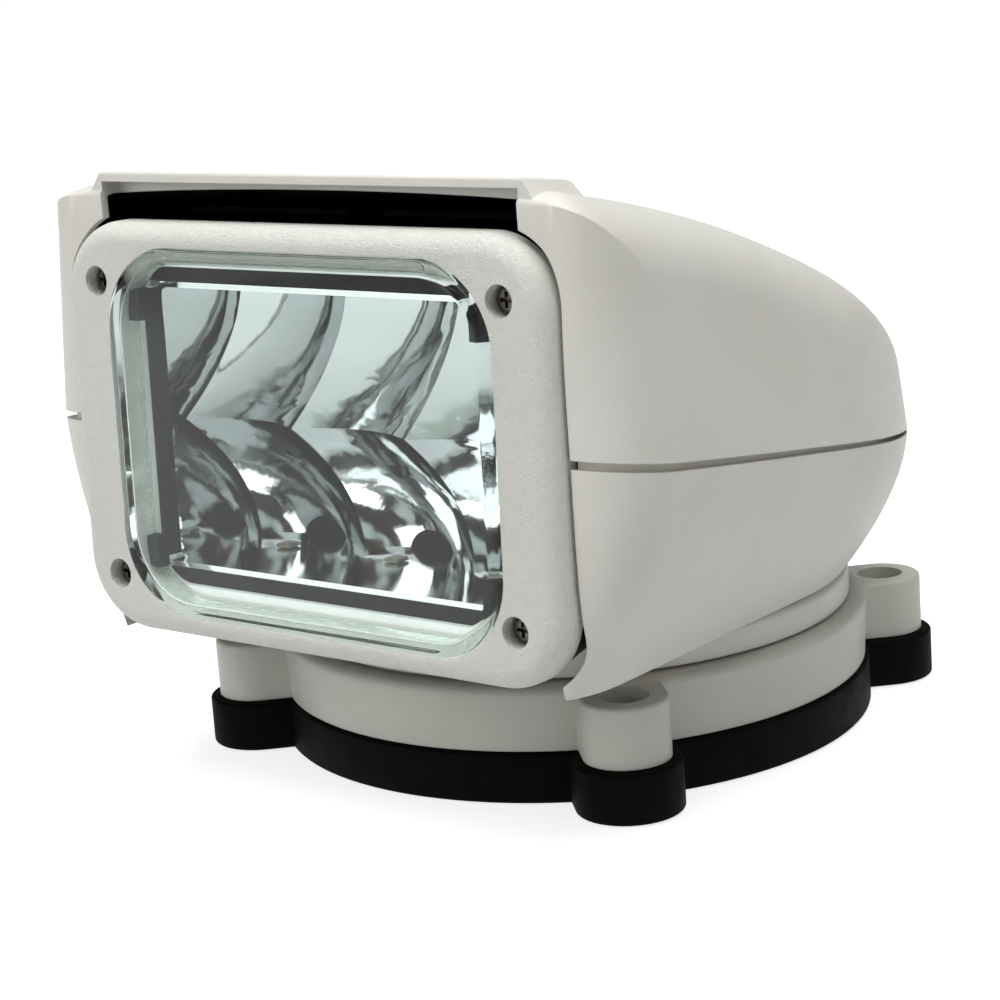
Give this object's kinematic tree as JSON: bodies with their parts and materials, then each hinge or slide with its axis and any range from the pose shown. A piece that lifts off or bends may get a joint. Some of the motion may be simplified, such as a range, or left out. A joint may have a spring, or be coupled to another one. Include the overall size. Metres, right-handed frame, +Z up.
{
  "type": "marine searchlight",
  "caption": "Remote searchlight for a boat deck: a white domed head that pans on a round plinth, with a rectangular multi-cell lamp that tilts in its front opening.",
  "frame": {"origin": "centre of the underside of the base gasket, on the pan axis", "axes": "+Z up along the pan axis, -Y the way the lamp looks, +X to the right of someone who looks into the lamp"},
  "size_m": [0.2178, 0.2206, 0.1806],
  "materials": {
    "white_housing": "off-white moulded plastic, fine grain",
    "bezel_white": "off-white moulded plastic, leather grain",
    "rubber": "matt black rubber",
    "black_plastic": "matt black",
    "nylon": "natural nylon",
    "bronze": "sintered bronze",
    "brass": "machined",
    "steel": "stainless and zinc-plated steel",
    "board": "green circuit board",
    "board_white": "white-masked circuit board",
    "led": "yellow phosphor",
    "clear_glass": "clear with a faint green edge",
    "chromed": "bright metallised plastic",
    "cast_black": "black coated die casting"
  },
  "bodies": {
    "base": {"base_gasket": "rubber", "base_housing": "white_housing", "base_cover": "black_plastic", "cover_screw_1": "steel", "cover_screw_2": "steel", "cover_screw_3": "steel", "cover_screw_4": "steel", "pan_gear": "nylon", "thrust_washer": "bronze", "dirt_seal": "rubber"},
    "head": {"turntable": "white_housing", "lower_shell": "white_housing", "upper_shell": "white_housing", "pan_spindle": "steel", "spindle_ring": "steel", "bay_liner": "black_plastic", "drive_bracket": "steel", "pan_motor": "steel", "tilt_motor": "steel", "control_board": "board", "tilt_bush_right": "nylon", "tilt_bush_left": "nylon", "head_screw_1": "steel", "head_screw_2": "steel", "head_screw_3": "steel", "head_screw_4": "steel", "shell_screw_1": "steel", "shell_screw_2": "steel", "shell_screw_3": "steel", "shell_screw_4": "steel"},
    "pan_drive": {"pan_pinion": "brass"},
    "tilt_drive": {"tilt_pinion": "brass"},
    "lamp": {"bezel": "bezel_white", "glass_lens": "clear_glass", "lens_seal": "rubber", "reflector": "chromed", "led_board_upper": "board_white", "led_board_lower": "board_white", "lamp_housing": "cast_black", "tilt_pin_right": "steel", "tilt_pin_left": "steel", "tilt_sector": "nylon", "bezel_screw_1": "steel", "bezel_screw_2": "steel", "bezel_screw_3": "steel", "bezel_screw_4": "steel", "lens_pad_1": "rubber", "lens_pad_2": "rubber", "lens_pad_3": "rubber", "lens_pad_4": "rubber", "led_1": "led", "led_2": "led", "led_3": "led", "led_4": "led", "led_5": "led", "led_6": "led"}
  },
  "joints": [
    {"name": "pan", "type": "hinge", "parent": "base", "child": "head", "pos_m": [0, 0, 0.0351], "axis": [0, 0, 1], "range_deg": [-185, 185]},
    {"name": "tilt", "type": "hinge", "parent": "head", "child": "lamp", "pos_m": [0, -0.101, 0.1066], "axis": [-1, 0, 0], "range_deg": [-25, 30]},
    {"name": "pan_pinion_spin", "type": "hinge", "parent": "head", "child": "pan_drive", "pos_m": [0, 0.03765, 0.037], "axis": [0, 0, 1], "range_deg": [-742, 742]},
    {"name": "tilt_pinion_spin", "type": "hinge", "parent": "head", "child": "tilt_drive", "pos_m": [0, -0.02921, 0.11926], "axis": [-1, 0, 0], "range_deg": [-262, 218.5]}
  ],
  "couplings": [
    {"joint": "pan_pinion_spin", "follows": "pan", "ratio": 4},
    {"joint": "tilt_pinion_spin", "follows": "tilt", "ratio": -8.7}
  ]
}
